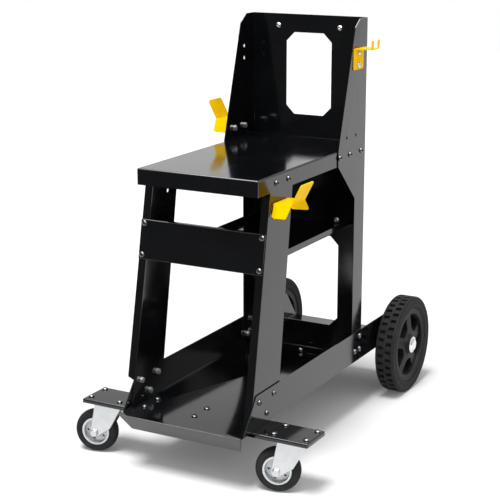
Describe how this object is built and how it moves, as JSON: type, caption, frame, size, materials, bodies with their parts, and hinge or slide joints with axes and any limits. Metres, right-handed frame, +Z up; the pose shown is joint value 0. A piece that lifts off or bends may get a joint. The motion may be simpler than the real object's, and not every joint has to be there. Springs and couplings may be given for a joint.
{
  "type": "welding cart",
  "caption": "Black sheet-steel welding cart with top shelf, shallow middle shelf, long bottom tray with gas bottle deck, swivel front casters, rear wheels, yellow cable hooks and torch holder.",
  "frame": {"origin": "on the floor under the middle of the bounding box, with both casters trailing to the left as at rest; the cart's own mid plane is at X = +12.7 mm", "axes": "+X to the right of someone facing the front, +Y to the back, +Z up"},
  "size_m": [0.4494, 0.6874, 0.719],
  "materials": {
    "black_paint": "gloss",
    "yellow_paint": "semi-gloss",
    "zinc_plate": "bright zinc",
    "tyre_rubber": "matte",
    "hub_plastic": "matte",
    "axle_steel": "plain"
  },
  "bodies": {
    "frame": {"bottom_tray": "black_paint", "rear_panel": "black_paint", "top_shelf": "black_paint", "middle_shelf": "black_paint", "front_panel": "black_paint", "front_leg_left": "black_paint", "front_leg_right": "black_paint", "caster_bar": "black_paint", "axle_bracket_left": "black_paint", "axle_bracket_right": "black_paint", "cable_hook_left": "yellow_paint", "cable_hook_right": "yellow_paint", "torch_holder": "yellow_paint", "caster_plate_left": "zinc_plate", "hub_cap_left": "zinc_plate", "caster_plate_right": "zinc_plate", "hub_cap_right": "zinc_plate", "rear_axle": "axle_steel", "skirt_screw_left_1": "zinc_plate", "skirt_screw_left_2": "zinc_plate", "wall_front_screw_left_1": "zinc_plate", "wall_front_screw_left_2": "zinc_plate", "wall_front_screw_left_3": "zinc_plate", "wall_rear_screw_left_1": "zinc_plate", "wall_rear_screw_left_2": "zinc_plate", "wall_rear_screw_left_3": "zinc_plate", "panel_screw_left_1": "zinc_plate", "panel_screw_left_2": "zinc_plate", "anchor_bolt_left": "zinc_plate", "hook_screw_left_front": "zinc_plate", "hook_screw_left_rear": "zinc_plate", "skirt_screw_right_1": "zinc_plate", "skirt_screw_right_2": "zinc_plate", "wall_front_screw_right_1": "zinc_plate", "wall_front_screw_right_2": "zinc_plate", "wall_front_screw_right_3": "zinc_plate", "wall_rear_screw_right_1": "zinc_plate", "wall_rear_screw_right_2": "zinc_plate", "wall_rear_screw_right_3": "zinc_plate", "panel_screw_right_1": "zinc_plate", "panel_screw_right_2": "zinc_plate", "anchor_bolt_right": "zinc_plate", "hook_screw_right_front": "zinc_plate", "hook_screw_right_rear": "zinc_plate", "torch_screw_lower": "zinc_plate", "torch_screw_upper": "zinc_plate"},
    "caster_swivel_left": {"caster_fork_left": "zinc_plate", "caster_axle_left": "zinc_plate"},
    "caster_wheel_left": {"caster_tyre_left": "tyre_rubber", "caster_rim_left": "zinc_plate"},
    "rear_wheel_left": {"rear_tyre_left": "tyre_rubber", "rear_hub_left": "hub_plastic"},
    "caster_swivel_right": {"caster_fork_right": "zinc_plate", "caster_axle_right": "zinc_plate"},
    "caster_wheel_right": {"caster_tyre_right": "tyre_rubber", "caster_rim_right": "zinc_plate"},
    "rear_wheel_right": {"rear_tyre_right": "tyre_rubber", "rear_hub_right": "hub_plastic"}
  },
  "joints": [
    {"name": "caster_swivel_left", "type": "hinge", "parent": "frame", "child": "caster_swivel_left", "pos_m": [-0.16178, -0.27417, 0.09], "axis": [0, 0, 1], "continuous": true},
    {"name": "caster_roll_left", "type": "hinge", "parent": "caster_swivel_left", "child": "caster_wheel_left", "pos_m": [-0.18782, -0.28052, 0.0375], "axis": [-0.2367, 0.9716, 0], "continuous": true},
    {"name": "rear_wheel_roll_left", "type": "hinge", "parent": "frame", "child": "rear_wheel_left", "pos_m": [-0.12568, 0.25183, 0.092], "axis": [1, 0, 0], "continuous": true},
    {"name": "caster_swivel_right", "type": "hinge", "parent": "frame", "child": "caster_swivel_right", "pos_m": [0.18722, -0.27417, 0.09], "axis": [0, 0, 1], "continuous": true},
    {"name": "caster_roll_right", "type": "hinge", "parent": "caster_swivel_right", "child": "caster_wheel_right", "pos_m": [0.16118, -0.28052, 0.0375], "axis": [-0.2367, 0.9716, 0], "continuous": true},
    {"name": "rear_wheel_roll_right", "type": "hinge", "parent": "frame", "child": "rear_wheel_right", "pos_m": [0.15112, 0.25183, 0.092], "axis": [1, 0, 0], "continuous": true}
  ]
}
